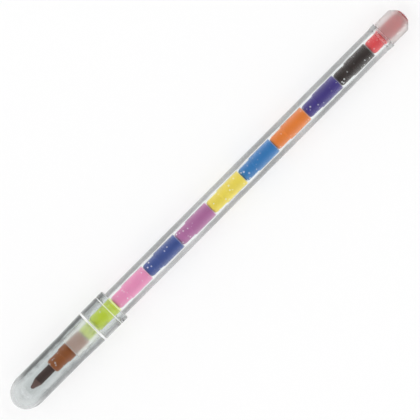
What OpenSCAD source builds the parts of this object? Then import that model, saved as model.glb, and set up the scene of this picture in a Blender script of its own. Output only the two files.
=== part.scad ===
// Stackable crayon pen.
// A clear barrel holds a row of crayon points. Each point is a wax crayon tip set in a
// plastic holder, and the holder's hollow rear takes the tip of the point behind it.
// A frosted nose grips the front point, a clear domed cap covers it, and a frosted plug
// closes the tail. The pen lies along X with its writing end towards -X. The origin is
// on the pen's axis, halfway along the closed pen. All sizes are in millimetres.

/* [Crayon tips] */
// Diameter of the wax tip
crayon_d = 2.6; // [2:0.1:3]
// Length of wax that stands out of its holder
crayon_out = 8.2; // [6:0.1:10]
// Length of wax that sits in its holder
crayon_seat = 3.2; // [2:0.1:5]
// Length of the sharpened cone
cone_l = 2.8; // [1.5:0.1:4]
// Radius of the blunt end of the cone
cone_end_r = 0.5; // [0.2:0.05:0.8]
// Radial gap round the wax in its seat
seat_gap = 0.02; // [0.01:0.01:0.05]

/* [Holders] */
// Wall of the holder round its socket
holder_wall = 0.79; // [0.5:0.01:1]
// How far the front part is set in from the rear part
holder_step = 0.25; // [0.1:0.05:0.4]
// Length of the narrower front part
holder_front_l = 4.4; // [3:0.1:6]
// Length of the rounding of the front rim
holder_round = 1.1; // [0.4:0.1:2]
// Flat left on the front rim, round the wax
holder_flat = 0.15; // [0.05:0.05:0.3]
// Bevel of the rear rim, inside and out
holder_rim = 0.2; // [0.1:0.05:0.3]
// Solid floor between the wax and the socket
holder_floor = 0.7; // [0.4:0.1:1.5]
// Radial room round the next tip in the socket
socket_play = 0.25; // [0.15:0.05:0.5]
// Room in front of the next tip in the socket
socket_end_gap = 0.3; // [0.1:0.05:0.8]
// Gap between one holder and the next
stack_gap = 0.04; // [0.02:0.01:0.1]

/* [Barrel] */
// Radial room round the holders in the barrel
bore_play = 0.24; // [0.2:0.02:0.5]
// Wall of the barrel
barrel_wall = 1.42; // [1.3:0.02:1.8]
// Wall left round the seats at both ends of the barrel
end_wall = 0.8; // [0.7:0.05:0.9]
// Bevel of the barrel's front edge
barrel_edge = 0.1; // [0.05:0.01:0.12]
// How much the barrel narrows towards its front end, under the cap
seat_taper = 0.06; // [0.02:0.01:0.1]
// Height of the lip round the barrel's rear end
lip_h = 0.16; // [0.05:0.01:0.2]
// Length of that lip
lip_l = 1.8; // [1:0.1:3]
// Bevel of the lip's rear edge
lip_edge = 0.3; // [0.1:0.05:0.4]

/* [Nose] */
// Length of the nose in front of the barrel
nose_l = 8.65; // [6:0.05:12]
// Length of the nose spigot inside the barrel
nose_spigot_l = 3; // [2:0.1:5]
// Step from the spigot out to the nose
nose_shoulder = 0.22; // [0.1:0.02:0.3]
// Radial room round the holder that the nose grips
grip_play = 0.06; // [0.03:0.01:0.09]
// Rounding of the nose's front edge
nose_edge = 0.3; // [0.1:0.05:0.4]
// Length of the taper that leads the holders from the barrel's bore into the nose
nose_lead_in = 2.6; // [0.5:0.1:5]
// How far the front holder stands out of the nose
holder_out = 7.25; // [5:0.05:9]

/* [Cap] */
// Wall of the cap over the point
cap_wall = 1.07; // [0.9:0.01:1.4]
// Wall of the cap at its mouth
mouth_wall = 0.88; // [0.7:0.02:1.2]
// Length of barrel that the cap covers
cap_overlap = 8.7; // [6:0.1:12]
// Radial room between the cap's mouth and the barrel
cap_play = 0.24; // [0.15:0.01:0.35]
// How far the cap's inner stop reaches in over the barrel's end
cap_stop = 0.14; // [0.13:0.01:0.3]
// Gap between the barrel's front edge and the cap's stop
cap_stop_gap = 0.05; // [0.02:0.01:0.1]
// Gap between the cap's mouth and the straight part of the barrel
mouth_gap = 0.1; // [0.05:0.05:0.5]
// Distance of the grip bead from the mouth
bead_in = 2.3; // [1.5:0.1:4]
// Length of the grip bead
bead_l = 0.9; // [0.5:0.1:1.5]
// Radial room between the grip bead and the barrel
bead_play = 0.03; // [0.02:0.01:0.08]
// Length of the domed end
dome_l = 5.87; // [5:0.01:7]
// Wall at the end of the dome
dome_wall = 1.05; // [0.8:0.05:1.5]
// Free space between the dome and the crayon's tip
tip_gap = 5.4; // [5:0.1:8]
// Rounding of the cap's mouth
mouth_edge = 0.25; // [0.1:0.05:0.3]

/* [Tail plug] */
// Length of the plug behind the barrel
tail_l = 8; // [6:0.1:11]
// How far the plug's side is set in from the barrel's
tail_inset = 0.17; // [0.05:0.01:0.3]
// Bevel round the plug's end
tail_bevel = 1.85; // [1:0.05:1.9]
// Height of the crown on the plug's end
tail_crown = 0.42; // [0.2:0.02:0.8]
// Thickness of the plug's end, under the crown
tail_wall = 1.3; // [1.2:0.05:2.5]
// Length of the plug's spigot inside the barrel
plug_spigot_l = 1.75; // [1:0.05:3]
// Radial room round the spigot in the barrel
plug_fit = 0.04; // [0.02:0.01:0.08]
// Radial room round the last holder in the plug
plug_play = 0.15; // [0.1:0.01:0.25]
// Gap between the plug's shoulder and the barrel, and between its floor and the last holder
plug_gap = 0.05; // [0.02:0.01:0.1]
// Bevel in the bottom corner of the plug's bore
plug_corner = 0.25; // [0.15:0.05:0.3]

/* [Hidden] */
// Name, holder colour and wax colour of each point, from the writing end to the tail
POINTS = [
    ["brown", "#a0603a", "#4a2a1e"],
    ["lime", "#b0c850", "#8fae2c"],
    ["pink", "#e48ab4", "#d0568f"],
    ["navy", "#4a5c9c", "#28346e"],
    ["purple", "#a8609a", "#823a74"],
    ["yellow", "#e8d658", "#d8bc1e"],
    ["blue", "#3c80bc", "#1f5c9a"],
    ["orange", "#e27a3e", "#c8541c"],
    ["violet", "#54468c", "#35285f"],
    ["black", "#403838", "#1f1a1a"],
    ["red", "#dc5656", "#b42c2c"]
];
point_count = len(POINTS);

// Radii of the points, from the wax outwards
crayon_r = crayon_d / 2;
seat_r = crayon_r + seat_gap;
socket_r = crayon_r + socket_play;
holder_r = socket_r + holder_wall;
holder_front_r = holder_r - holder_step;
front_wall = holder_front_r - seat_r;

// Radii of the barrel and of what fits in it or over it
bore_r = holder_r + bore_play;
barrel_r = bore_r + barrel_wall;
lip_r = barrel_r + lip_h;
front_r = barrel_r - seat_taper;
end_seat_r = barrel_r - end_wall;
nose_spigot_r = end_seat_r - seat_gap;
nose_r = nose_spigot_r + nose_shoulder;
nose_bore_r = holder_r + grip_play;
plug_spigot_r = end_seat_r - plug_fit;
plug_r = barrel_r - tail_inset;
plug_bore_r = holder_r + plug_play;
tail_crown_r = plug_r - tail_bevel;
cap_bore_r = front_r - cap_stop;
cap_r = cap_bore_r + cap_wall;
mouth_bore_r = barrel_r + cap_play;
mouth_r = mouth_bore_r + mouth_wall;

// Lengths of one point and of the row
socket_l = crayon_out + socket_end_gap;
holder_l = crayon_seat + holder_floor + socket_l;
pitch = holder_l + stack_gap;

// Stations along the pen, from the end of the dome towards the tail
tip_at = dome_wall + tip_gap;
row_at = tip_at + crayon_out;
nose_at = row_at + holder_out;
barrel_at = nose_at + nose_l;
mouth_at = barrel_at + cap_overlap;
seat_end = mouth_at + mouth_gap;
bead_at = mouth_at - bead_in;
stop_at = barrel_at + mouth_bore_r - front_r + barrel_edge - cap_stop_gap;
row_end = row_at + point_count * pitch - stack_gap;
plug_floor_at = row_end + plug_gap;
pen_l = plug_floor_at + tail_wall;
barrel_end = pen_l - tail_l;
shoulder_at = barrel_end + plug_gap;
lip_at = barrel_end - lip_l;

// Radius of the tapered seat under the widest end of the grip bead, and of the bead over it
bead_end = bead_at + bead_l / 4;
bead_seat_r = barrel_r - seat_taper * (seat_end - bead_end) / (seat_end - barrel_at);
bead_r = bead_seat_r + bead_play;

// Steps along a rounded stretch of outline, facets round the pen, and the angle round
// the pen at which every turned surface starts
arc_steps = 14;
turn_facets = 96;
turn_start = 22.5;

// Points of a round or oval arc about [0, middle], as [radius, station] pairs.
// The angle is measured from the tail direction.
function oval_arc(middle, across, along, from, to) = [
    for (k = [0 : arc_steps])
        let (angle = from + (to - from) * k / arc_steps)
            [across * sin(angle), middle + along * cos(angle)]
];

// Points of a rounded or oval outer edge between a front face and a side
function front_round(side_r, face_at, across, along) = [
    for (k = [0 : arc_steps])
        let (angle = 90 * k / arc_steps)
            [side_r - across + across * sin(angle), face_at + along - along * cos(angle)]
];

// Turns an outline of [radius, station] pairs about the pen's axis
module turned(outline) {
    translate([-pen_l / 2, 0, 0])
        rotate([0, 90, 0])
            rotate([0, 0, turn_start])
                rotate_extrude($fn = turn_facets)
                    polygon(outline);
}

// Clear cap: oval dome, flared mouth, an inner stop for the barrel and a grip bead
module cap() {
    outside = concat(
        oval_arc(dome_l, cap_r, dome_l, 180, 90),
        [
            [cap_r, nose_at],
            [mouth_r, barrel_at],
            [mouth_r, mouth_at - mouth_edge],
            [mouth_r - mouth_edge, mouth_at]
        ]
    );
    mouth = [
        [mouth_bore_r + mouth_edge, mouth_at],
        [mouth_bore_r, mouth_at - mouth_edge],
        [mouth_bore_r, bead_at + bead_l / 2],
        [bead_r, bead_end],
        [bead_r, bead_at - bead_l / 4],
        [mouth_bore_r, bead_at - bead_l / 2],
        [mouth_bore_r, stop_at],
        [cap_bore_r, stop_at - (mouth_bore_r - cap_bore_r)]
    ];
    inside = oval_arc(dome_wall + cap_bore_r, cap_bore_r, cap_bore_r, 90, 180);
    color("#e4ecee", 0.35)
        turned(concat(outside, mouth, inside));
}

// Clear barrel: a tube with a tapered cap seat, a seat for the nose, one for the plug and a lip
module barrel() {
    color("#dde4e6", 0.35)
        turned([
            [front_r - barrel_edge, barrel_at],
            [front_r, barrel_at + barrel_edge],
            [barrel_r, seat_end],
            [barrel_r, lip_at],
            [lip_r, lip_at + lip_h],
            [lip_r, barrel_end - lip_edge],
            [lip_r - lip_edge, barrel_end],
            [end_seat_r, barrel_end],
            [end_seat_r, barrel_end - plug_spigot_l - plug_gap],
            [bore_r, barrel_end - plug_spigot_l - plug_gap],
            [bore_r, barrel_at + nose_spigot_l],
            [end_seat_r, barrel_at + nose_spigot_l],
            [end_seat_r, barrel_at]
        ]);
}

// Frosted nose: a collar that grips the front holder, with a spigot glued in the barrel
module nose_collar() {
    spigot_end = barrel_at + nose_spigot_l;
    color("#d4dadb", 0.6)
        turned(concat(
            front_round(nose_r, nose_at, nose_edge, nose_edge),
            [
                [nose_r, barrel_at],
                [nose_spigot_r, barrel_at],
                [nose_spigot_r, spigot_end],
                [bore_r, spigot_end],
                [nose_bore_r, spigot_end - nose_lead_in],
                [nose_bore_r, nose_at + nose_edge],
                [nose_bore_r + nose_edge, nose_at]
            ]
        ));
}

// Frosted plug: closes the tail, holds the end of the row and pulls out to load a point
module tail_plug() {
    crown_sphere_r = (pow(tail_crown_r, 2) + pow(tail_crown, 2)) / (2 * tail_crown);
    crown_angle = asin(tail_crown_r / crown_sphere_r);
    crown = oval_arc(pen_l - crown_sphere_r, crown_sphere_r, crown_sphere_r, crown_angle, 0);
    color("#d6d0ce", 0.6)
        turned(concat(
            [
                [plug_bore_r, barrel_end - plug_spigot_l],
                [plug_spigot_r, barrel_end - plug_spigot_l],
                [plug_spigot_r, shoulder_at],
                [plug_r, shoulder_at],
                [plug_r, pen_l - tail_crown - tail_bevel]
            ],
            crown,
            [
                [0, plug_floor_at],
                [plug_bore_r - plug_corner, plug_floor_at],
                [plug_bore_r, plug_floor_at - plug_corner]
            ]
        ));
}

// Holder of one point: a seat for its wax in front and a socket for the next tip behind
module holder(place) {
    front = row_at + place * pitch;
    rear = front + holder_l;
    seat_floor = front + crayon_seat;
    socket_floor = seat_floor + holder_floor;
    color(POINTS[place][1])
        turned(concat(
            [[seat_r, front]],
            front_round(holder_front_r, front, front_wall - holder_flat, holder_round),
            [
                [holder_front_r, front + holder_front_l],
                [holder_r, front + holder_front_l + holder_step],
                [holder_r, rear - holder_rim],
                [holder_r - holder_rim, rear],
                [socket_r + holder_rim, rear],
                [socket_r, rear - holder_rim],
                [socket_r, socket_floor],
                [0, socket_floor],
                [0, seat_floor],
                [seat_r, seat_floor]
            ]
        ));
}

// Wax tip of one point: a rod with a blunt cone whose end is tangent to its sides
module crayon(place) {
    front = row_at + place * pitch;
    tip = front - crayon_out;
    cone_end = tip + cone_l;
    to_edge = norm([crayon_r, cone_l - cone_end_r]);
    tangent_angle = atan2(crayon_r, cone_l - cone_end_r) + acos(cone_end_r / to_edge);
    blunt_end = oval_arc(tip + cone_end_r, cone_end_r, cone_end_r, 180, tangent_angle);
    color(POINTS[place][2])
        turned(concat(
            blunt_end,
            [
                [crayon_r, cone_end],
                [crayon_r, front + crayon_seat - seat_gap],
                [0, front + crayon_seat - seat_gap]
            ]
        ));
}

cap();
barrel();
nose_collar();
tail_plug();
for (place = [0 : point_count - 1]) {
    holder(place);
    crayon(place);
}
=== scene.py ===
# %% [markdown]
# # A stackable crayon pen
# This lesson dresses the CAD model of a stackable crayon pen. A clear barrel holds a row of
# short crayon points, and each point is a coloured plastic holder with a wax tip. The tip of
# every point stands in the hollow rear of the holder in front of it. A frosted nose grips the
# front point, a clear cap covers it, and a frosted plug closes the tail.
#
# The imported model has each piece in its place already, so it is loaded as a fixed frame. Its
# solids could simply be painted, but clear plastic shows every facet and every hard edge. So
# each piece is turned again here with smooth walls and softened corners, in the same place.

# %% Load the frame
import math

import bpy
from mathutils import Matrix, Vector


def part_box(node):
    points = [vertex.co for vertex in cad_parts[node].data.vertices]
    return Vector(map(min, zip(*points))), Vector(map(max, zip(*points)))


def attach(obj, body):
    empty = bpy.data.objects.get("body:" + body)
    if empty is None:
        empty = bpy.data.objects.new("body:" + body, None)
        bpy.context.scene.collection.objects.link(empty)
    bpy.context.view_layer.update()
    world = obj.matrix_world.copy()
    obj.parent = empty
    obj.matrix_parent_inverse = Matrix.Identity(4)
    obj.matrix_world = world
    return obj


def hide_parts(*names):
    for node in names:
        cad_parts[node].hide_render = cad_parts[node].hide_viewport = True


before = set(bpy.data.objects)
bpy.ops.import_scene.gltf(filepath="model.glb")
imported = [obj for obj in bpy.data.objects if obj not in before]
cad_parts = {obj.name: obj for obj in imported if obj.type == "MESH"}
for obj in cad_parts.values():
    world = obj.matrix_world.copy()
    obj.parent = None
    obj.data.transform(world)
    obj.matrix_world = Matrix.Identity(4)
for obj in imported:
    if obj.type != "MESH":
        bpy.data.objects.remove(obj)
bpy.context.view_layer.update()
MM = 0.001

# %% [markdown]
# ## The camera
# The photograph looks straight down on the pen, which lies at 45 degrees with its cap at the
# lower left. The rings round the pen show as straight lines, so the picture was taken from far
# away. An orthographic camera would do that too, but a long lens keeps a little true depth and
# also works when the camera is moved round the pen.

# %% Camera
IMAGE_PX = 420
PX_PER_MM = 3.61
PEN_ANGLE = math.radians(45.08)
CAMERA_ASIDE = -0.19
LENS_MM = 600
SENSOR_MM = 36
view_width = IMAGE_PX / PX_PER_MM * MM
camera_height = view_width * LENS_MM / SENSOR_MM
camera_spot = (0, CAMERA_ASIDE * MM, camera_height)
bpy.ops.object.camera_add(location=camera_spot, rotation=(0, 0, -PEN_ANGLE))
camera = bpy.context.object
camera.data.lens = LENS_MM
camera.data.sensor_width = SENSOR_MM
bpy.context.scene.camera = camera
bpy.context.scene.view_settings.view_transform = "Standard"
print("camera is", round(camera_height, 3), "m above the pen")

# %% [markdown]
# ## The floor
# The pen lies on a plain white sheet. It touches the sheet at two places, the mouth of the cap
# and the small lip at the rear of the barrel, and the cap is thicker, so its axis leans by half
# a degree. The frame keeps the axis level, so the sheet is tilted instead.

# %% Floor
HALF_PEN = 76.4
MOUTH_R, MOUTH_REST = 5.115, 39.0
LIP_R, LIP_REST = 4.16, 144.5
FLOOR_SIZE = 6.0
FLOOR_GAP = 0.02
rest_run = LIP_REST - MOUTH_REST
floor_slope = math.atan((MOUTH_R - LIP_R) / rest_run)
floor_at_middle = -MOUTH_R + (HALF_PEN - MOUTH_REST) * math.tan(floor_slope) - FLOOR_GAP
bpy.ops.object.select_all(action="DESELECT")
bpy.ops.mesh.primitive_plane_add(
    size=FLOOR_SIZE, location=(0, 0, floor_at_middle * MM), rotation=(0, -floor_slope, 0)
)
floor = bpy.context.object
floor.name = "white_sheet"
print("sheet leans by", round(math.degrees(floor_slope), 3), "degrees")

# %% [markdown]
# ## Shader maths
# A material is a web of nodes. Wiring each node by hand takes many lines, so one small class
# wraps the output of a node. Python's own operators then add Math nodes, and one method adds
# any other node: its kind, its settings and what goes into its sockets.


# %% A class for node outputs
class Shade:
    """The output of a node in a material, which Python's operators can work with."""

    def __init__(self, tree, socket=None):
        self.tree = tree
        self.socket = socket

    def node(self, kind, settings=None, sockets=None, output=0):
        """Adds a node with its settings first, then the values or links of its sockets."""
        made = self.tree.nodes.new(kind)
        for name, value in (settings or {}).items():
            if name == "stops":
                while len(made.color_ramp.elements) < len(value):
                    made.color_ramp.elements.new(1.0)
                for element, (position, colour) in zip(made.color_ramp.elements, value):
                    element.position = position
                    element.color = colour
            else:
                setattr(made, name, value)
        for name, value in (sockets or {}).items():
            if isinstance(value, Shade):
                self.tree.links.new(value.socket, made.inputs[name])
            else:
                made.inputs[name].default_value = value
        return Shade(self.tree, made.outputs[output] if made.outputs else None)

    def math(self, operation, *values):
        """Adds a Math node on some values."""
        return self.node("ShaderNodeMath", {"operation": operation}, dict(enumerate(values)))

    def __add__(self, other):
        return self.math("ADD", self, other)

    def __radd__(self, other):
        return self.math("ADD", other, self)

    def __sub__(self, other):
        return self.math("SUBTRACT", self, other)

    def __rsub__(self, other):
        return self.math("SUBTRACT", other, self)

    def __mul__(self, other):
        return self.math("MULTIPLY", self, other)

    def __rmul__(self, other):
        return self.math("MULTIPLY", other, self)

    def __truediv__(self, other):
        return self.math("DIVIDE", self, other)

    def __rtruediv__(self, other):
        return self.math("DIVIDE", other, self)

    def __pow__(self, other):
        return self.math("POWER", self, other)

    def __rpow__(self, other):
        return self.math("POWER", other, self)


# %% Colours and new materials
def linear(red, green, blue):
    """A colour as a picture shows it, 0 to 255, turned into light by the sRGB rule."""
    shares = [value / 255 for value in (red, green, blue)]
    light = [s / 12.92 if s <= 0.04045 else ((s + 0.055) / 1.055) ** 2.4 for s in shares]
    return (*light, 1.0)


def new_material(name):
    """An empty material and the Shade that adds its nodes."""
    material = bpy.data.materials.new(name)
    material.use_nodes = True
    material.node_tree.nodes.clear()
    print("material", name)
    return material, Shade(material.node_tree)


# %% [markdown]
# ## Finish of the sheet
# The photograph's ground is plain white, and the only shade on it is a faint grey close to the
# pen. Pale diffuse paper keeps that soft shadow. A glow, seen by the camera and through the
# clear plastic but not by the pen's own colours, lifts the paper to white.

# %% Paper
PAPER = 0.3
PAPER_GLOW = 0.66


def paper():
    """Pale paper that glows only where it is seen, mirrored or looked at through plastic."""
    material, shade = new_material("white_paper")
    path = "ShaderNodeLightPath"
    seen = shade.node(path, {}, {}, "Is Camera Ray")
    mirrored = shade.node(path, {}, {}, "Is Glossy Ray")
    looked_through = shade.node(path, {}, {}, "Is Transmission Ray")
    shown = seen.math("MAXIMUM", seen, mirrored.math("MAXIMUM", mirrored, looked_through))
    sheet = shade.node("ShaderNodeBsdfDiffuse", {}, {"Color": (PAPER, PAPER, PAPER, 1.0)})
    glow = shade.node("ShaderNodeEmission", {}, {"Strength": PAPER_GLOW * shown})
    surface = shade.node("ShaderNodeAddShader", {}, {0: sheet, 1: glow})
    shade.node("ShaderNodeOutputMaterial", {}, {"Surface": surface})
    return material


floor.data.materials.append(paper())

# %% [markdown]
# ## The light
# The photograph has no hard shadow and no bright line along the barrel. A straight tube seen from
# above mirrors only what stands beside it, never what stands at its ends, so two wide lamps past
# the ends light the colours and leave the barrel clear. They are broad across the pen, so the dome
# of the cap mirrors them as a soft gleam. The sky is pale low down and darker above, which keeps
# dark holders dark.
#
# Light crosses up to six clear walls on its way in and six on its way out, so it is allowed more
# bounces than usual, and the filter that softens bright spots is off, as it would dim each wall.

# %% Sky
SKY_LOW = 1.6
SKY_HIGH = 0.12


def studio_sky():
    """A sky that is pale low down and darker above."""
    world = bpy.data.worlds.new("studio_sky")
    world.use_nodes = True
    world.node_tree.nodes.clear()
    shade = Shade(world.node_tree)
    direction = shade.node("ShaderNodeTexCoord", {}, {}, "Generated")
    height = shade.node("ShaderNodeSeparateXYZ", {}, {"Vector": direction}, "Z")
    strength = SKY_LOW + (SKY_HIGH - SKY_LOW) * height.math("ABSOLUTE", height)
    sky = shade.node("ShaderNodeBackground", {}, {"Color": (1, 1, 1, 1), "Strength": strength})
    shade.node("ShaderNodeOutputWorld", {}, {"Surface": sky})
    bpy.context.scene.world = world


studio_sky()
print("sky goes from", SKY_LOW, "to", SKY_HIGH)

# %% Lamps and bounces
LAMP_DISTANCE = 0.6
LAMPS = {"tail_lamp": (0.48, 0, 0.88), "cap_lamp": (-0.48, 0, 0.88)}
LAMP_BREADTH = 1.1
LAMP_DEPTH = 0.25
LAMP_POWER = 1.6
BOUNCES = 40
cycles = bpy.context.scene.cycles
cycles.blur_glossy = 0.0
cycles.max_bounces = BOUNCES
cycles.transmission_bounces = BOUNCES
for name, direction in LAMPS.items():
    spot = Vector(direction) * LAMP_DISTANCE
    bpy.ops.object.light_add(type="AREA", location=spot)
    lamp = bpy.context.object
    lamp.rotation_euler = spot.to_track_quat("Z", "Y").to_euler()
    lamp.data.shape = "RECTANGLE"
    lamp.data.size = LAMP_BREADTH
    lamp.data.size_y = LAMP_DEPTH
    lamp.data.energy = LAMP_POWER
    lamp.name = name
    breadth_runs = lamp.matrix_basis.to_3x3() @ Vector((1, 0, 0))
    print(name, "at", [round(c, 3) for c in spot], "broad along", [round(c, 2) for c in breadth_runs])

# %% [markdown]
# ## Turning a piece
# Every piece of this pen is round, and on the real one each was moulded in a turned steel form.
# It could be stacked up from cylinders and cones, but their seams would show in clear plastic.
# The lathe way is cleaner. One vertex is extruded from corner to corner until it has drawn half
# of the piece's outline, some corners are bevelled, and the wire is spun once round the axis.
#
# Corners are given as millimetres along the pen from the end of the cap, and millimetres out
# from the axis.


# %% Drawing an outline
def station(along):
    """Where a place along the pen lies in the frame."""
    return (along - HALF_PEN) * MM


def place(corner):
    """Where a corner of an outline lies in the frame."""
    along, out = corner
    return Vector((station(along), 0, out * MM))


def draw_outline(name, corners):
    """Draws a wire from corner to corner and stays in edit mode."""
    bpy.ops.object.select_all(action="DESELECT")
    bpy.ops.mesh.primitive_plane_add(size=MM, location=place(corners[0]))
    piece = bpy.context.object
    piece.name = piece.data.name = name
    bpy.ops.object.transform_apply(location=True, rotation=True, scale=True)
    bpy.ops.object.mode_set(mode="EDIT")
    bpy.ops.mesh.select_mode(type="VERT")
    bpy.ops.mesh.select_all(action="SELECT")
    bpy.ops.mesh.merge(type="CENTER")
    for here, there in zip(corners, corners[1:]):
        step = place(there) - place(here)
        bpy.ops.mesh.extrude_region_move(TRANSFORM_OT_translate={"value": step})
    return piece


def oval_arc(middle, across, along, start, end, steps=18):
    """Corners along a round or oval arc. The angle is measured from the tail direction."""
    angles = [math.radians(start + (end - start) * k / steps) for k in range(steps + 1)]
    return [(middle + along * math.cos(a), across * math.sin(a)) for a in angles]


# %% Softening corners and spinning
SAME_PLACE = 1e-7
SAME_CORNER = 1e-6
SOFT_ANGLE = math.radians(40)


def join_doubles():
    """Joins the vertices of the piece in edit mode that lie in the same place."""
    bpy.ops.mesh.select_all(action="SELECT")
    bpy.ops.mesh.remove_doubles(threshold=SAME_PLACE)


def soften(piece, corners, width, segments=3):
    """Rounds the given corners of the wire."""
    bpy.ops.mesh.select_all(action="DESELECT")
    bpy.ops.object.mode_set(mode="OBJECT")
    spots = [place(corner) for corner in corners]
    for vertex in piece.data.vertices:
        vertex.select = any((vertex.co - spot).length < SAME_CORNER for spot in spots)
    bpy.ops.object.mode_set(mode="EDIT")
    bpy.ops.mesh.bevel(
        offset=width * MM, offset_type="OFFSET", segments=segments, affect="VERTICES"
    )


def spin_outline(piece, facets=96):
    """Spins the wire once round the pen's axis and closes its seam and poles."""
    join_doubles()
    bpy.ops.mesh.spin(steps=facets, angle=math.tau, center=(0, 0, 0), axis=(1, 0, 0))
    join_doubles()
    bpy.ops.mesh.normals_make_consistent(inside=False)
    bpy.ops.object.mode_set(mode="OBJECT")
    bpy.ops.object.shade_smooth_by_angle(angle=SOFT_ANGLE)
    bpy.ops.object.modifier_add(type="WEIGHTED_NORMAL")
    piece.modifiers[-1].keep_sharp = True
    bpy.ops.object.modifier_apply(modifier=piece.modifiers[-1].name)


# %% Standing for a CAD node
def stands_for(piece, node, body, material):
    """Gives a piece its finish and lets it stand for a CAD node."""
    piece.data.materials.clear()
    piece.data.materials.append(material)
    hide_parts(node)
    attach(piece, body)
    node_low, node_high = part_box(node)
    low = Vector([min(v.co[k] for v in piece.data.vertices) for k in range(3)])
    high = Vector([max(v.co[k] for v in piece.data.vertices) for k in range(3)])
    off = max((low - node_low).length, (high - node_high).length) / MM
    print(f"{piece.name}: {len(piece.data.polygons)} faces, {off:.3f} mm off its node")


# %% [markdown]
# ## Clear plastic
# The barrel and the cap are moulded from clear, hard plastic. It bends light like glass, but it
# is softer, so handling leaves a fine haze, and the moulding leaves the surface a little wavy.
# Looked at steeply it is nearly invisible. Where it turns away, its colour is painted grey with a
# touch of green. The grey is painted shade for the shadowed sheet beside the pen, seen through the
# thick wall. A layer weight measures that slant, and a colour ramp turns it into the painted shade.
# A tube that is looked at along its length must not go grey all over, so a second layer weight
# measures how far the look runs along the pen, and only the slant round the tube counts.
#
# The thin dome of the cap has one flat grey all over, which is painted shade too, and the slanting
# shade sets in behind it. The painted shade is fuller on the side of the pen where its shadow falls
# on the sheet. It is uneven: it has streaks along the piece, fine speckle and soft patches. A thin
# matt white film at the front of the cap's mouth is a painted highlight that widens the white ring.


# %% Noise, mixes and films
MATT_WHITE = (0.95, 0.96, 0.96, 1.0)


def noise(shade, spot, scale, detail):
    """Soft noise. The scale is its number of waves to the metre."""
    return shade.node("ShaderNodeTexNoise", {}, {"Vector": spot, "Scale": scale, "Detail": detail})


def mix_colours(shade, share, first, second):
    """A colour between two others."""
    return shade.node("ShaderNodeMix", {"data_type": "RGBA"}, {0: share, 6: first, 7: second}, 2)


def between(shade, value, start, end, low=0.0, high=1.0, curve="LINEAR"):
    """A number that is low where the value is at its start, and high where it is at its end."""
    return shade.node(
        "ShaderNodeMapRange",
        {"interpolation_type": curve},
        {"Value": value, "From Min": start, "From Max": end, "To Min": low, "To Max": high},
    )


def under_highlight_film(shade, surface, share):
    """A surface with a matt white film over a share of it. The film is a painted highlight."""
    film = shade.node("ShaderNodeBsdfDiffuse", {}, {"Color": MATT_WHITE})
    return shade.node("ShaderNodeMixShader", {}, {0: share, 1: surface, 2: film})


# %% The slant round the tube
COSINE_BLEND = 0.5
LEAST_CROSSWISE = 0.1


def slant_round_tube(shade):
    """How far a wall turns away from the look, counted only round the tube."""
    weight = "ShaderNodeLayerWeight"
    pen_axis = shade.node("ShaderNodeCombineXYZ", {}, {"X": 1.0})
    steep = 1.0 - shade.node(weight, {}, {"Blend": COSINE_BLEND}, "Facing")
    endwise = shade.node(weight, {}, {"Blend": COSINE_BLEND, "Normal": pen_axis}, "Facing")
    lengthwise = 1.0 - endwise
    crosswise = (1.0 - lengthwise**2) ** 0.5
    return 1.0 - steep / crosswise.math("MAXIMUM", crosswise, LEAST_CROSSWISE)


# %% Clear plastic
PLASTIC_IOR = 1.5
WAVE_SHAPE, WAVE_SCALE, WAVE_DEPTH = (0.12, 1.0, 1.0), 900.0, 0.2 * MM
HAZE_SCALE, PATCH_SCALE = 500.0, 70.0
CLEAR_ROUGHNESS, HAZE_ROUGHNESS = 0.02, 0.05
TINT_WIDTH = 10.0
CLEAR = (1.0, 1.0, 1.0, 1.0)
BARREL_RED = 0.985
# The film at the front of the cap's mouth is a painted highlight that widens the white ring.
HIGHLIGHT_FILM_SHARE, HIGHLIGHT_FILM_FADES = 0.22, (31.0, 31.8)


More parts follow.
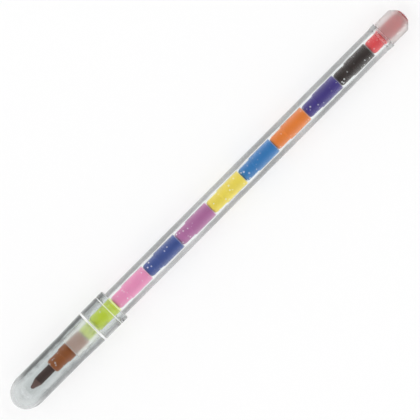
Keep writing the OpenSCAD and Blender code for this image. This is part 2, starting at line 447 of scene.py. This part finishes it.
def clear_plastic(
    name,
    edge_stops=None,
    red_share=BARREL_RED,
    waviness=0.1,
    streaks=0.0,
    speckle=0.0,
    side_shade=0.0,
    patches=0.0,
    sets_in=None,
    before=CLEAR,
    with_highlight_film=False,
):
    """Clear plastic. With stops, painted shade in its colour follows how steeply it is looked
    through.
    """
    material, shade = new_material(name)
    spot = shade.node("ShaderNodeTexCoord", {}, {}, "Object")
    along = shade.node("ShaderNodeSeparateXYZ", {}, {"Vector": spot}, "X")
    drawn = shade.node("ShaderNodeMapping", {}, {"Vector": spot, "Scale": WAVE_SHAPE})
    waves = noise(shade, drawn, WAVE_SCALE, detail=1.0)
    haze = noise(shade, spot, HAZE_SCALE, detail=4.0)
    bump = shade.node(
        "ShaderNodeBump", {}, {"Strength": waviness, "Distance": WAVE_DEPTH, "Height": waves}
    )
    shown = (red_share, 1.0, 1.0, 1.0)
    if edge_stops:
        slant = slant_round_tube(shade)
        uneven = slant + streaks * (waves - 0.5) + speckle * (haze - 0.5)
        # The ramp turns the slant into painted shade: a grey for the shadowed sheet seen through the
        # wall.
        stops = [(at, (red_share * grey, grey, grey, 1.0)) for at, grey in edge_stops]
        tint = shade.node("ShaderNodeValToRGB", {"stops": stops}, {"Fac": uneven})
        aside = shade.node("ShaderNodeSeparateXYZ", {}, {"Vector": spot}, "Y")
        # Painted shade: fuller on the side of the pen where its shadow falls.
        sided = 1.0 - side_shade / 2 + aside * (side_shade / TINT_WIDTH / MM)
        fullness = sided + patches * (noise(shade, spot, PATCH_SCALE, detail=1.0) - 0.5)
        if sets_in:
            start, end = [station(limit) for limit in sets_in]
            fullness = fullness * between(shade, along, start, end, curve="SMOOTHSTEP")
        shown = mix_colours(shade, fullness, before, tint)
    surface = shade.node(
        "ShaderNodeBsdfPrincipled",
        {},
        {
            "Base Color": shown,
            "Roughness": CLEAR_ROUGHNESS + HAZE_ROUGHNESS * haze,
            "IOR": PLASTIC_IOR,
            "Transmission Weight": 1.0,
            "Normal": bump,
        },
    )
    # The white film is a painted highlight that widens the white ring.
    if with_highlight_film:
        full_at, gone_at = [station(limit) for limit in HIGHLIGHT_FILM_FADES]
        share = between(shade, along, gone_at, full_at, high=HIGHLIGHT_FILM_SHARE)
        surface = under_highlight_film(shade, surface, share)
    shade.node("ShaderNodeOutputMaterial", {}, {"Surface": surface})
    return material


# %% Clear finishes
# The flat grey of the cap's dome is painted shade for the shadowed sheet seen through it.
PALE = (0.655, 0.675, 0.675, 1.0)
CAP_RED = 0.945
# Each stop gives the grey of the painted shade at one slant.
barrel_edge_stops = [
    (0.16, 1.0),
    (0.2, 0.72),
    (0.245, 0.62),
    (0.265, 0.14),
    (0.45, 0.15),
    (0.68, 0.3),
    (0.9, 0.45),
]
cap_edge_stops = [(0.14, 0.66), (0.28, 0.25), (0.38, 0.004), (0.55, 0.004), (0.75, 0.3)]
mouth_edge_stops = [
    (0.06, 0.74),
    (0.14, 0.52),
    (0.36, 0.3),
    (0.46, 0.06),
    (0.58, 0.06),
    (0.75, 0.4),
]
cap_moulding = {"red_share": CAP_RED, "waviness": 0.2, "streaks": 0.2, "speckle": 0.3}
clear_barrel_plastic = clear_plastic(
    "clear_barrel_plastic",
    barrel_edge_stops,
    streaks=0.1,
    speckle=0.1,
    side_shade=0.12,
    patches=0.7,
    sets_in=(38.6, 39.6),
)
clear_cap_plastic = clear_plastic(
    "clear_cap_plastic",
    cap_edge_stops,
    side_shade=0.3,
    sets_in=(3.0, 9.0),
    before=PALE,
    **cap_moulding,
)
clear_mouth_plastic = clear_plastic(
    "clear_mouth_plastic", mouth_edge_stops, side_shade=0.2, with_highlight_film=True, **cap_moulding
)
clear_inner_plastic = clear_plastic("clear_inner_plastic")

# %% [markdown]
# ## Matt rings and glued faces
# Two white rings run round the cap: one over the front of the barrel, and one over the bead that
# grips the barrel. Each is a fine groove in the skin with a thin matt white film. The film is a
# painted highlight that stands in for the glint of the stop and of the bead inside the cap. A ring of
# its own could be laid in, but it would be a loose part, so the faces of the groove get the finish
# instead. A film looks denser at a slant, so its share grows with the slant. The front edge of the
# barrel and the rim of the cap's mouth are rubbed matt too.
#
# Where the nose is glued into the barrel, the glue fills the gap and no surface shows. The end of
# the last holder presses on the floor of the tail plug, and no surface shows there either. Such
# faces let all light straight through.


# %% Matt and glued finishes
SCUFF_SCALE = 1500.0
MATT_ROUGHNESS, SCUFF_ROUGHNESS = 0.5, 0.3
FULL_FILM_AT = 0.3


def rubbed_plastic(name, clearness=1.0, film=None):
    """Matt plastic, with the least and the most share of a white film if it has one, a painted
    highlight.
    """
    material, shade = new_material(name)
    spot = shade.node("ShaderNodeTexCoord", {}, {}, "Object")
    scuff = noise(shade, spot, SCUFF_SCALE, detail=3.0)
    surface = shade.node(
        "ShaderNodeBsdfPrincipled",
        {},
        {
            "Base Color": MATT_WHITE,
            "Roughness": MATT_ROUGHNESS + SCUFF_ROUGHNESS * scuff,
            "IOR": PLASTIC_IOR,
            "Transmission Weight": clearness,
        },
    )
    if film:
        least, most = film
        slant = shade.node("ShaderNodeLayerWeight", {}, {"Blend": COSINE_BLEND}, "Facing")
        share = between(shade, slant, 0.0, FULL_FILM_AT, least, most)
        surface = under_highlight_film(shade, surface, share)
    shade.node("ShaderNodeOutputMaterial", {}, {"Surface": surface})
    return material


def glued_faces():
    """Faces that touch another piece so closely that no surface shows."""
    material, shade = new_material("glued_faces")
    surface = shade.node("ShaderNodeBsdfTransparent", {}, {"Color": CLEAR})
    shade.node("ShaderNodeOutputMaterial", {}, {"Surface": surface})
    return material


rubbed = rubbed_plastic("rubbed_plastic", clearness=0.2)
# These two white films are painted highlights for the glints of the stop and of the bead.
painted_highlight_ring = rubbed_plastic("painted_highlight_ring_plastic", film=(0.42, 1.0))
painted_highlight_line = rubbed_plastic("painted_highlight_line_plastic", film=(0.25, 0.75))
rubbed_rim = rubbed_plastic("rubbed_rim_plastic", clearness=0.6)
glued = glued_faces()


# %% Another finish for some faces
def refinish(piece, material, chosen):
    """Gives another finish to the faces whose station and radius are chosen."""
    if material.name not in piece.data.materials:
        piece.data.materials.append(material)
    slot_number = piece.data.materials.find(material.name)
    count = 0
    for face in piece.data.polygons:
        along = face.center.x / MM + HALF_PEN
        out = math.hypot(face.center.y, face.center.z) / MM
        if chosen(along, out):
            face.material_index = slot_number
            count += 1
    print(f"{piece.name}: {count} faces in {material.name}")


# %% [markdown]
# ## The barrel
# The barrel is a thick tube. Its front narrows a little under the cap and holds the nose in a
# seat, and its rear has a small lip and a seat for the tail plug. A cylinder with a Solidify
# modifier would give the tube, but not the seats, so its outline goes round both walls.

# %% Barrel
BARREL_R, BORE_R, SEAT_R = 4.0, 2.58, 3.2
BARREL_AT, NOSE_SEAT_END, BARREL_END = 30.55, 33.55, 144.8
BARREL_FRONT_R, BARREL_FRONT_END = 3.94, 39.35
LIP_AT, LIP_FULL_AT, PLUG_SEAT_AT = 142.7, 143.5, 143.0
FINE_EDGE, FRONT_EDGE, REAR_EDGE = 0.06, 0.1, 0.15
LIP_EDGE, LIP_SEGMENTS = 0.36, 6
barrel_front = [(BARREL_AT, BARREL_FRONT_R), (BARREL_FRONT_END, BARREL_R)]
barrel_lip = [(LIP_AT, BARREL_R), (LIP_FULL_AT, LIP_R)]
barrel_rear = [(BARREL_END, LIP_R), (BARREL_END, SEAT_R)]
barrel_plug_seat = [(PLUG_SEAT_AT, SEAT_R), (PLUG_SEAT_AT, BORE_R)]
barrel_nose_seat = [(NOSE_SEAT_END, BORE_R), (NOSE_SEAT_END, SEAT_R), (BARREL_AT, SEAT_R)]
barrel = draw_outline(
    "clear_barrel",
    barrel_front
    + barrel_lip
    + barrel_rear
    + barrel_plug_seat
    + barrel_nose_seat
    + barrel_front[:1],
)
join_doubles()
soften(barrel, barrel_front[:1], FRONT_EDGE)
soften(barrel, barrel_rear[:1], REAR_EDGE)
soften(barrel, barrel_lip, LIP_EDGE, LIP_SEGMENTS)
soften(barrel, barrel_rear[1:] + barrel_nose_seat[2:], FINE_EDGE)
spin_outline(barrel)
stands_for(barrel, "barrel", "barrel", clear_barrel_plastic)

# %% Finishes of the barrel
NEAR = 0.02
RUBBED_L, RUBBED_FROM = 0.12, 0.1
GLUE_OVER_EDGE = 0.05


def rubbed_edge(along, out):
    """Whether a face of the barrel belongs to its front edge."""
    return along < BARREL_AT + RUBBED_L and out > SEAT_R + RUBBED_FROM


def glued_seat(along, out):
    """Whether a face of the barrel belongs to the seat of the nose."""
    return along < NOSE_SEAT_END + NEAR and BORE_R < out < SEAT_R + GLUE_OVER_EDGE


refinish(barrel, clear_inner_plastic, lambda along, out: out < SEAT_R + NEAR)
refinish(barrel, rubbed, rubbed_edge)
refinish(barrel, glued, glued_seat)

# %% [markdown]
# ## The cap
# The cap is a clear shell with a domed end. Its mouth is a little wider, and inside it has a
# slanted stop that meets the front of the barrel and a bead that grips it. A fine groove in its
# skin marks each of them from outside. The bead could be a steep bump, but a steep side mirrors
# all light and looks black from above, so it runs off in long flat flanks. The outline runs over
# the outside and back through the inside, from pole to pole.

# %% Cap
CAP_R, CAP_BORE_R, MOUTH_BORE_R, BEAD_R = 4.87, 3.8, 4.24, 4.015
DOME_L, FLARE_AT = 5.87, 21.9
MOUTH_AT, STOP_AT, BEAD_AT, INNER_DOME_AT = 39.25, 30.9, 36.95, 4.85
STOP_RING_AT, STOP_RING_W, BEAD_RING_W, RING_DEPTH = 30.7, 0.62, 0.26, 0.05
BEAD_CREST, BEAD_FOOT = 0.06, 1.2
MOUTH_EDGE, ROUND_SEGMENTS = 0.25, 4


def ring_groove(middle, width):
    """Corners of a fine groove with sloping sides in the skin of the cap's mouth."""
    low, high, floor_r = middle - width / 2, middle + width / 2, MOUTH_R - RING_DEPTH
    groove_floor = [(low + RING_DEPTH, floor_r), (high - RING_DEPTH, floor_r)]
    return [(low, MOUTH_R)] + groove_floor + [(high, MOUTH_R)]


cap_outside = oval_arc(DOME_L, CAP_R, DOME_L, 180, 90) + [(FLARE_AT, CAP_R)]
cap_rings = ring_groove(STOP_RING_AT, STOP_RING_W) + ring_groove(BEAD_AT, BEAD_RING_W)
cap_mouth = [(MOUTH_AT, MOUTH_R), (MOUTH_AT, MOUTH_BORE_R)]
cap_bead = [
    (BEAD_AT + BEAD_FOOT, MOUTH_BORE_R),
    (BEAD_AT + BEAD_CREST, BEAD_R),
    (BEAD_AT - BEAD_CREST, BEAD_R),
    (BEAD_AT - BEAD_FOOT, MOUTH_BORE_R),
]
cap_stop = [(STOP_AT, MOUTH_BORE_R), (STOP_AT - MOUTH_BORE_R + CAP_BORE_R, CAP_BORE_R)]
cap_inside = oval_arc(INNER_DOME_AT, CAP_BORE_R, CAP_BORE_R, 90, 180)
cap = draw_outline(
    "clear_cap", cap_outside + cap_rings + cap_mouth + cap_bead + cap_stop + cap_inside
)
soften(cap, cap_mouth, MOUTH_EDGE, ROUND_SEGMENTS)
soften(cap, cap_bead + cap_stop, FINE_EDGE)
spin_outline(cap)
stands_for(cap, "cap", "cap", clear_cap_plastic)

# %% Finishes of the cap
RIM_W = 0.15
WALL_DEPTH = 0.1


def inside_cap(along, out):
    """Whether a face of the cap belongs to its inner wall or to its inner dome."""
    if along < INNER_DOME_AT:
        return math.hypot(along - INNER_DOME_AT, out) < CAP_BORE_R + WALL_DEPTH
    return out < MOUTH_BORE_R + WALL_DEPTH


refinish(cap, clear_mouth_plastic, lambda along, out: along > STOP_RING_AT)
refinish(cap, rubbed_rim, lambda along, out: along > MOUTH_AT - RIM_W)
refinish(cap, clear_inner_plastic, inside_cap)
rings = ((STOP_RING_AT, STOP_RING_W, painted_highlight_ring), (BEAD_AT, BEAD_RING_W, painted_highlight_line))
for middle, width, ring_finish in rings:
    refinish(
        cap,
        ring_finish,
        lambda along, out: abs(along - middle) < width / 2 and out > MOUTH_R - WALL_DEPTH,
    )

# %% [markdown]
# ## Frosted plastic
# The nose and the tail plug are moulded from a milky plastic with a fine sand-blasted skin. What
# is inside shows only as a soft patch of colour. A mix of a clear and a white shader would do,
# but a rough transmission blurs what lies behind, as the real skin does. The nose also has a thin
# white bloom, which lifts it over the colours behind.


# %% Frosted plastic
FROST_IOR = 1.45
GRAIN_SCALE, GRAIN_STRENGTH, GRAIN_DEPTH = 6000.0, 0.1, 0.03 * MM
FROST_SCALE, FROST_SPREAD = 350.0, 0.12


def frosted_plastic(name, tint, roughness, milk, bloom=0.0):
    """Plastic that blurs what lies behind it. Milk is the share that lets no light through."""
    material, shade = new_material(name)
    spot = shade.node("ShaderNodeTexCoord", {}, {}, "Object")
    grain = noise(shade, spot, GRAIN_SCALE, detail=2.0)
    cloud = noise(shade, spot, FROST_SCALE, detail=3.0)
    bump = shade.node(
        "ShaderNodeBump",
        {},
        {"Strength": GRAIN_STRENGTH, "Distance": GRAIN_DEPTH, "Height": grain},
    )
    surface = shade.node(
        "ShaderNodeBsdfPrincipled",
        {},
        {
            "Base Color": tint,
            "Roughness": roughness - FROST_SPREAD / 2 + FROST_SPREAD * cloud,
            "IOR": FROST_IOR,
            "Transmission Weight": 1.0 - milk,
            "Normal": bump,
        },
    )
    if bloom:
        film = shade.node("ShaderNodeBsdfDiffuse", {}, {"Color": (bloom, bloom, bloom, 1.0)})
        surface = shade.node("ShaderNodeAddShader", {}, {0: surface, 1: film})
    shade.node("ShaderNodeOutputMaterial", {}, {"Surface": surface})
    return material


frosted_nose_plastic = frosted_plastic(
    "frosted_nose_plastic", (0.87, 0.86, 0.82, 1.0), roughness=0.11, milk=0.1, bloom=0.21
)
frosted_tail_plastic = frosted_plastic(
    "frosted_tail_plastic", (0.95, 0.91, 0.9, 1.0), roughness=0.45, milk=0.12
)
polished_end_plastic = frosted_plastic(
    "polished_end_plastic", (0.96, 0.92, 0.92, 1.0), roughness=0.12, milk=0.05
)
# The bore's pink is a painted reflection of the red holder inside it.
frosted_bore_painted_red_plastic = frosted_plastic(
    "frosted_bore_painted_red_plastic", (0.62, 0.53, 0.51, 1.0), roughness=0.3, milk=0.06
)

# %% [markdown]
# ## The nose
# The nose is a collar with a spigot glued in the front of the barrel. Its bore fits the rear of
# a holder closely, and that grip is all that keeps the front point in place while drawing. A taper
# inside the spigot leads the holders from the wider bore of the barrel into the nose. The whole
# ring could be cut from a cylinder, but one closed outline gives the shoulder and the taper at once.

# %% Nose
GLUE_GAP = 0.02
NOSE_AT, NOSE_R, NOSE_BORE_R, SPIGOT_R = 21.9, 3.4, 2.4, 3.18
LEAD_IN, BORE_CHAMFER, BROAD_EDGE = 2.6, 0.3, 0.3
shoulder_at = BARREL_AT - GLUE_GAP
spigot_end = NOSE_SEAT_END - GLUE_GAP
nose_front = [(NOSE_AT, NOSE_BORE_R + BORE_CHAMFER), (NOSE_AT, NOSE_R)]
nose_shoulder = [(shoulder_at, NOSE_R), (shoulder_at, SPIGOT_R)]
nose_spigot = [(spigot_end, SPIGOT_R), (spigot_end, BORE_R)]
nose_bore = [(spigot_end - LEAD_IN, NOSE_BORE_R), (NOSE_AT + BORE_CHAMFER, NOSE_BORE_R)]
nose = draw_outline(
    "frosted_nose", nose_front + nose_shoulder + nose_spigot + nose_bore + nose_front[:1]
)
join_doubles()
soften(nose, nose_front[1:], BROAD_EDGE, ROUND_SEGMENTS)
soften(nose, nose_shoulder[:1] + nose_spigot[:1] + nose_bore, FINE_EDGE)
spin_outline(nose)
stands_for(nose, "nose_collar", "barrel", frosted_nose_plastic)


def clear_in_nose(along, out):
    """Whether a face of the nose belongs to its bore or to its spigot."""
    return out < NOSE_BORE_R + NEAR or along > shoulder_at


refinish(nose, clear_inner_plastic, clear_in_nose)
refinish(nose, glued, lambda along, out: along > shoulder_at and out > BORE_R)

# %% [markdown]
# ## The tail plug
# The plug closes the rear of the barrel. Its end has a broad bevel and a shallow crown, and its
# bore takes the rear half of the last holder, which is why the tail looks faintly red. The pink of
# the bore is a painted reflection of that red holder. A cylinder with bevelled edges would miss the
# crown, so the end is drawn as part of a large sphere.

# %% Tail plug
PEN_L, PLUG_R, PLUG_SPIGOT_R, PLUG_BORE_R = 152.8, 3.83, 3.16, 2.49
PLUG_SHOULDER_AT, PLUG_FLOOR_AT, PLUG_FLOOR_EDGE = 144.85, 151.5, 0.25
PLUG_AT, CLEAR_SPIGOT_END = 143.05, 143.95
TAIL_BEVEL, TAIL_CROWN, CROWN_STEPS = 1.85, 0.42, 8
crown_r = PLUG_R - TAIL_BEVEL
crown_sphere_r = (crown_r**2 + TAIL_CROWN**2) / (2 * TAIL_CROWN)
crown_angle = math.degrees(math.asin(crown_r / crown_sphere_r))
crown_middle = PEN_L - crown_sphere_r
plug_bevel = [(PEN_L - TAIL_CROWN - TAIL_BEVEL, PLUG_R)]
plug_crown = oval_arc(crown_middle, crown_sphere_r, crown_sphere_r, crown_angle, 0, CROWN_STEPS)
plug_side = [
    (CLEAR_SPIGOT_END, PLUG_SPIGOT_R),
    (PLUG_SHOULDER_AT, PLUG_SPIGOT_R),
    (PLUG_SHOULDER_AT, PLUG_R),
]
plug_spigot = [(PLUG_AT, PLUG_BORE_R), (PLUG_AT, PLUG_SPIGOT_R)]
plug_bore = [
    (PLUG_FLOOR_AT, 0),
    (PLUG_FLOOR_AT, PLUG_BORE_R - PLUG_FLOOR_EDGE),
    (PLUG_FLOOR_AT - PLUG_FLOOR_EDGE, PLUG_BORE_R),
    (CLEAR_SPIGOT_END, PLUG_BORE_R),
]
tail_plug = draw_outline(
    "frosted_tail_plug", plug_bore + plug_spigot + plug_side + plug_bevel + plug_crown
)
soften(tail_plug, plug_bevel + plug_crown[:1], BROAD_EDGE, ROUND_SEGMENTS)
soften(tail_plug, plug_spigot + plug_side[2:], FINE_EDGE)
spin_outline(tail_plug)
stands_for(tail_plug, "tail_plug", "tail_plug", frosted_tail_plastic)
refinish(tail_plug, frosted_bore_painted_red_plastic, lambda along, out: out < PLUG_BORE_R + NEAR)
refinish(tail_plug, clear_inner_plastic, lambda along, out: along < CLEAR_SPIGOT_END)
refinish(tail_plug, polished_end_plastic, lambda along, out: along > PLUG_FLOOR_AT + NEAR)
refinish(tail_plug, glued, lambda along, out: abs(along - PLUG_FLOOR_AT) < NEAR)

# %% [markdown]
# ## The colours of the points
# Eleven points make up the row, from the writing end to the tail. Each has a colour for its
# plastic holder and a deeper one for its wax. The colours are kept in one table, so that a maker
# can set another row.

# %% Point colours
POINT_COLOURS = {
    "brown": ((178, 100, 46), (62, 38, 32)),
    "lime": ((236, 252, 64), (160, 188, 40)),
    "pink": ((248, 156, 200), (214, 88, 150)),
    "navy": ((63, 86, 158), (40, 52, 120)),
    "purple": ((188, 114, 168), (140, 56, 118)),
    "yellow": ((252, 230, 92), (222, 190, 40)),
    "blue": ((48, 128, 196), (30, 92, 166)),
    "orange": ((244, 136, 50), (214, 88, 26)),
    "violet": ((68, 52, 140), (58, 42, 116)),
    "black": ((46, 33, 29), (40, 33, 32)),
    "red": ((238, 80, 85), (200, 40, 48)),
}
print(len(POINT_COLOURS), "points:", ", ".join(POINT_COLOURS))

# %% [markdown]
# ## Holder plastic and wax
# The holders are moulded in coloured plastic that lets a little light in, so the wax of the next
# point shows as a darker core. Tiny bubbles and flecks sit in the plastic, most of them near the
# front. Both ends have a paler rim and a paler line runs round the step, and these are painted
# highlights. The wax is matt, with small pores and rub marks from the mould. Its cone is painted
# paler than the rod, as painted light on its slope. All of it could be painted as a picture, but
# noise and places along the pen do it for every colour.


# %% Tones of a colour
def darker(colour, share):
    """A colour with a share of its light."""
    return (*[c * share for c in colour[:3]], 1.0)


def paler(colour, share):
    """A colour that has gone a share of the way to white."""
    return (*[c + share * (1 - c) for c in colour[:3]], 1.0)


def brighter(colour, gain, lift=0.0):
    """A colour with more light, and no channel over full."""
    return (*[min(1.0, c * gain + lift) for c in colour[:3]], 1.0)


# %% Flecks in the holders
FLECK_SCALE, CROWD_SCALE, CROWD_L = 900.0, 220.0, 5.0 * MM
FLECK_SIZE, FRONT_FLECK_SIZE = 0.3, 0.1
FLECK_RARITY, FLECK_LIGHT = 1.1, 0.9


def flecks(shade, spot, along, front_at, lightness):
    """How bright each fleck is. They crowd near the front, and pale plastic has brighter ones."""
    bubbles = {"Vector": spot, "Scale": FLECK_SCALE}
    distance = shade.node("ShaderNodeTexVoronoi", {}, bubbles, "Distance")
    lustre = shade.node("ShaderNodeTexVoronoi", {}, bubbles, "Color")
    crowd = noise(shade, spot, CROWD_SCALE, detail=1.0)
    near_front = between(shade, along, front_at + CROWD_L, front_at)
    size = FLECK_SIZE * crowd + FRONT_FLECK_SIZE * near_front
    fleck = distance.math("LESS_THAN", distance, size)
    chance = shade.node("ShaderNodeSeparateColor", {}, {"Color": lustre}, "Red")
    return fleck * chance ** (FLECK_RARITY - FLECK_LIGHT * lightness)


# %% Holder plastic
CLOUD_SCALE, CLOUD_STRENGTH, CLOUD_DEPTH = 700.0, 0.08, 0.1 * MM
HOLDER_ROUGHNESS, CLOUD_ROUGHNESS = 0.3, 0.15
HOLDER_SPECULAR, HOLDER_CLEARNESS = 0.25, 0.2
SHADED_LIGHT, FLECK_PALENESS, END_HIGHLIGHT_PALENESS = 0.86, 0.8, 0.6
# Painted highlights: a paler rim at each end of a holder and a paler line round its step.
END_HIGHLIGHT_L, FRONT_HIGHLIGHT_SHARE, REAR_HIGHLIGHT_SHARE = 0.4 * MM, 0.25, 0.5
STEP_HIGHLIGHT_W, STEP_HIGHLIGHT_LIFT = 0.3 * MM, 0.6
RAGGED = 0.2 * MM


def holder_plastic(name, colour, front_at, rear_at, step_at):
    """Coloured plastic with clouds, flecks, and painted highlights at its ends and along its step."""
    material, shade = new_material(f"{name}_holder_plastic")
    plain = linear(*colour)
    spot = shade.node("ShaderNodeTexCoord", {}, {}, "Object")
    along = shade.node("ShaderNodeSeparateXYZ", {}, {"Vector": spot}, "X")
    cloud = noise(shade, spot, CLOUD_SCALE, detail=3.0)
    # A paler line round the step is a painted highlight on its edge.
    from_step = along - step_at
    off_step = from_step.math("ABSOLUTE", from_step)
    step_highlight = between(shade, off_step, STEP_HIGHLIGHT_W, 0.0, high=STEP_HIGHLIGHT_LIFT)
    toned = mix_colours(shade, cloud + step_highlight, darker(plain, SHADED_LIGHT), plain)
    fleck_share = flecks(shade, spot, along, front_at, sum(plain[:3]) / 3)
    flecked = mix_colours(shade, fleck_share, toned, paler(plain, FLECK_PALENESS))
    ragged = along + RAGGED * (cloud - 0.5)
    # Paler rims at both ends are painted highlights, for the glint and the light in the thin edges.
    ends = [
        between(shade, ragged, inner, outer, high=share, curve="SMOOTHSTEP")
        for inner, outer, share in (
            (front_at + END_HIGHLIGHT_L, front_at, FRONT_HIGHLIGHT_SHARE),
            (rear_at - END_HIGHLIGHT_L, rear_at, REAR_HIGHLIGHT_SHARE),
        )
    ]
    end_highlight_share = ends[0].math("MAXIMUM", *ends)
    with_end_highlights = mix_colours(shade, end_highlight_share, flecked, paler(plain, END_HIGHLIGHT_PALENESS))
    bump = shade.node(
        "ShaderNodeBump",
        {},
        {"Strength": CLOUD_STRENGTH, "Distance": CLOUD_DEPTH, "Height": cloud},
    )
    surface = shade.node(
        "ShaderNodeBsdfPrincipled",
        {},
        {
            "Base Color": with_end_highlights,
            "Roughness": HOLDER_ROUGHNESS + CLOUD_ROUGHNESS * cloud,
            "IOR": PLASTIC_IOR,
            "Specular IOR Level": HOLDER_SPECULAR,
            "Transmission Weight": HOLDER_CLEARNESS,
            "Normal": bump,
        },
    )
    shade.node("ShaderNodeOutputMaterial", {}, {"Surface": surface})
    return material


# %% Crayon wax
PORE_SCALE, PORE_STRENGTH, PORE_DEPTH = 2500.0, 0.15, 0.1 * MM
WAX_ROUGHNESS, PORE_ROUGHNESS = 0.45, 0.2
RUB_SCALE, RUB_GAIN = 600.0, 1.25
CONE_LIGHT_GAIN, CONE_LIGHT_LIFT = 2.4, 0.03


def crayon_wax(name, colour, cone_end):
    """Matt wax with painted light on its cone, which is paler in front of the cone's end."""
    material, shade = new_material(f"{name}_crayon_wax")
    plain = linear(*colour)
    spot = shade.node("ShaderNodeTexCoord", {}, {}, "Object")
    along = shade.node("ShaderNodeSeparateXYZ", {}, {"Vector": spot}, "X")
    pores = noise(shade, spot, PORE_SCALE, detail=4.0)
    rub = noise(shade, spot, RUB_SCALE, detail=2.0)
    toned = mix_colours(shade, rub, plain, brighter(plain, RUB_GAIN))
    # The cone is painted paler: painted light on its slope.
    painted_cone_light = along.math("LESS_THAN", along + RAGGED * (pores - 0.5), cone_end)
    cut = mix_colours(shade, painted_cone_light, toned, brighter(plain, CONE_LIGHT_GAIN, CONE_LIGHT_LIFT))
    bump = shade.node(
        "ShaderNodeBump",
        {},
        {"Strength": PORE_STRENGTH, "Distance": PORE_DEPTH, "Height": pores},
    )
    surface = shade.node(
        "ShaderNodeBsdfPrincipled",
        {},
        {
            "Base Color": cut,
            "Roughness": WAX_ROUGHNESS + PORE_ROUGHNESS * pores,
            "Normal": bump,
        },
    )
    shade.node("ShaderNodeOutputMaterial", {}, {"Surface": surface})
    return material


# %% [markdown]
# ## The holders and their wax
# A holder has a narrower front part with a seat for its own wax, and a hollow rear in which the
# wax tip of the next point stands. They could be drawn one by one, but all eleven are alike, so
# one holder and one wax tip are modelled at the writing end, and copies are moved back along the
# row.

# %% The first holder
ROW_AT = 14.65
HOLDER_L, HOLDER_R, HOLDER_FRONT_R, FRONT_L, STEP = 12.4, 2.34, 2.09, 4.4, 0.25
WAX_SEAT_R, SOCKET_R, SEAT_L, FLOOR_L = 1.32, 1.55, 3.2, 0.7
FRONT_ROUND_L, FRONT_ROUND_R, ROUND_STEPS = 1.1, 0.62, 8
HOLDER_EDGE, STEP_EDGE, POINT_FACETS = 0.2, 0.08, 72
holder_end = ROW_AT + HOLDER_L
seat_floor = ROW_AT + SEAT_L
holder_seat = [(seat_floor, 0), (seat_floor, WAX_SEAT_R), (ROW_AT, WAX_SEAT_R)]
front_round = oval_arc(
    ROW_AT + FRONT_ROUND_L, FRONT_ROUND_R, FRONT_ROUND_L, 180, 90, ROUND_STEPS
)
holder_front = [(along, HOLDER_FRONT_R - FRONT_ROUND_R + out) for along, out in front_round]
holder_step = [(ROW_AT + FRONT_L, HOLDER_FRONT_R), (ROW_AT + FRONT_L + STEP, HOLDER_R)]
holder_rear = [(holder_end, HOLDER_R), (holder_end, SOCKET_R)]
holder_socket = [(seat_floor + FLOOR_L, SOCKET_R), (seat_floor + FLOOR_L, 0)]
holder = draw_outline(
    "holder_brown_turned", holder_seat + holder_front + holder_step + holder_rear + holder_socket
)
soften(holder, holder_rear, HOLDER_EDGE)
soften(holder, holder_step, STEP_EDGE)
spin_outline(holder, POINT_FACETS)
print("a holder has", len(holder.data.polygons), "faces")

# %% The first wax tip
WAX_R, WAX_OUT, CONE_L, TIP_R = 1.3, 8.2, 2.8, 0.5
TIP_STEPS, CONE_EDGE = 6, 0.15
tip_at = ROW_AT - WAX_OUT
cone_run = CONE_L - TIP_R
tangent = math.atan2(WAX_R, cone_run) + math.acos(TIP_R / math.hypot(WAX_R, cone_run))
wax_tip = oval_arc(tip_at + TIP_R, TIP_R, TIP_R, 180, math.degrees(tangent), TIP_STEPS)
wax_cone_end = [(tip_at + CONE_L, WAX_R)]
wax_rear = [(seat_floor - GLUE_GAP, WAX_R), (seat_floor - GLUE_GAP, 0)]
wax = draw_outline("wax_brown_turned", wax_tip + wax_cone_end + wax_rear)
soften(wax, wax_cone_end, CONE_EDGE)
spin_outline(wax, POINT_FACETS)
print("a wax tip has", len(wax.data.polygons), "faces")

# %% Copies along the row
PITCH = 12.44


def copy_along(piece, name, steps):
    """A copy of a piece with its own mesh, some steps of the row further back."""
    bpy.ops.object.select_all(action="DESELECT")
    piece.select_set(True)
    bpy.context.view_layer.objects.active = piece
    bpy.ops.object.duplicate(linked=False)
    copy = bpy.context.object
    copy.name = copy.data.name = name
    copy.location.x += steps * PITCH * MM
    bpy.ops.object.transform_apply(location=True, rotation=True, scale=True)
    return copy


row = [(holder, wax)]
for steps, colour in enumerate(POINT_COLOURS):
    if steps > 0:
        next_holder = copy_along(holder, f"holder_{colour}_turned", steps)
        next_wax = copy_along(wax, f"wax_{colour}_turned", steps)
        row.append((next_holder, next_wax))
print(len(row), "points stand in the row")

# %% Finishes of the row
for steps, (colour, (its_holder, its_wax)) in enumerate(zip(POINT_COLOURS, row)):
    plastic_colour, wax_colour = POINT_COLOURS[colour]
    body = f"point_{colour}"
    back = steps * PITCH
    front_at = station(ROW_AT + back)
    rear_at = station(holder_end + back)
    step_at = station(ROW_AT + FRONT_L + back)
    cone_end = station(tip_at + CONE_L + back)
    stands_for(
        its_holder,
        f"holder_{colour}",
        body,
        holder_plastic(colour, plastic_colour, front_at, rear_at, step_at),
    )
    stands_for(
        its_wax,
        f"crayon_{colour}",
        body,
        crayon_wax(colour, wax_colour, cone_end),
    )

# %% [markdown]
# ## Closing
# The dressed pen has to keep the size of the CAD model.

# %% Sizes
bpy.ops.object.select_all(action="DESELECT")
